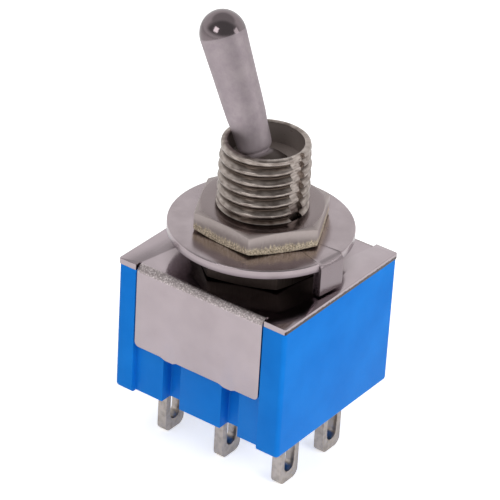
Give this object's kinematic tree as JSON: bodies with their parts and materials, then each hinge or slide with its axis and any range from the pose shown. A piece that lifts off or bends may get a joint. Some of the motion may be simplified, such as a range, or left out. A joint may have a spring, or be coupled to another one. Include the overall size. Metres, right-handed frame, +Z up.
{
  "type": "toggle switch",
  "caption": "Miniature two-pole panel toggle switch with a bat lever in a threaded bushing, hex nuts, tabbed lock ring, folded bracket, blue case and slotted solder lugs.",
  "frame": {"origin": "on the bushing's axis at the bracket's upper face, where the lower nut seats", "axes": "+Z up the bushing towards the lever, X along the rows of three lugs and the lever's throw, -Y towards the front flap"},
  "size_m": [0.0132, 0.0124, 0.0304],
  "materials": {
    "blue_case": "moulded, satin",
    "nickel_sheet": "bright nickel on folded steel sheet",
    "nickel_turned": "bright nickel on turned brass",
    "nickel_nut": "bright nickel on pressed steel",
    "nickel_ring": "satin nickel on stamped steel",
    "silver_lug": "silver plate on stamped brass",
    "white_nylon": "moulded nylon",
    "spring_steel": "drawn wire",
    "contact_metal": "silver-faced copper alloy"
  },
  "bodies": {
    "switch_body": {"housing": "blue_case", "bracket": "nickel_sheet", "bushing": "nickel_turned", "lower_nut": "nickel_nut", "lock_ring": "nickel_ring", "upper_nut": "nickel_nut", "lug_front_left": "silver_lug", "lug_front_center": "silver_lug", "lug_front_right": "silver_lug", "lug_rear_left": "silver_lug", "lug_rear_center": "silver_lug", "lug_rear_right": "silver_lug"},
    "lever_arm": {"lever": "nickel_turned", "pivot_pin": "spring_steel"},
    "slider": {"actuator": "white_nylon", "plunger_spring_front": "spring_steel", "plunger_spring_rear": "spring_steel"},
    "front_plunger": {"plunger_front": "white_nylon"},
    "rear_plunger": {"plunger_rear": "white_nylon"},
    "front_rocker": {"rocker_front": "contact_metal"},
    "rear_rocker": {"rocker_rear": "contact_metal"}
  },
  "joints": [
    {"name": "lever_throw", "type": "hinge", "parent": "switch_body", "child": "lever_arm", "pos_m": [0, 0, 0.00575], "axis": [0, 1, 0], "range_deg": [0, 46]},
    {"name": "slider_travel", "type": "slide", "parent": "switch_body", "child": "slider", "axis": [1, 0, 0], "range_m": [-0.00227, 0]},
    {"name": "front_rocker_tip", "type": "hinge", "parent": "switch_body", "child": "front_rocker", "pos_m": [0, -0.0024, -0.0062], "axis": [0, 1, 0], "range_deg": [-14.01, 0]},
    {"name": "front_plunger_press", "type": "slide", "parent": "slider", "child": "front_plunger", "axis": [0, 0, 1], "range_m": [0, 0.0003], "stiffness_N_per_m": 400, "springref_m": -0.001, "deforming": ["plunger_spring_front"]},
    {"name": "rear_rocker_tip", "type": "hinge", "parent": "switch_body", "child": "rear_rocker", "pos_m": [0, 0.0024, -0.0062], "axis": [0, 1, 0], "range_deg": [-14.01, 0]},
    {"name": "rear_plunger_press", "type": "slide", "parent": "slider", "child": "rear_plunger", "axis": [0, 0, 1], "range_m": [0, 0.0003], "stiffness_N_per_m": 400, "springref_m": -0.001, "deforming": ["plunger_spring_rear"]}
  ],
  "couplings": [
    {"joint": "lever_throw", "follows": "slider_travel", "rad_per_m": -354.27},
    {"joint": "front_rocker_tip", "follows": "slider_travel", "rad_per_m": 107.82},
    {"joint": "rear_rocker_tip", "follows": "slider_travel", "rad_per_m": 107.82}
  ]
}
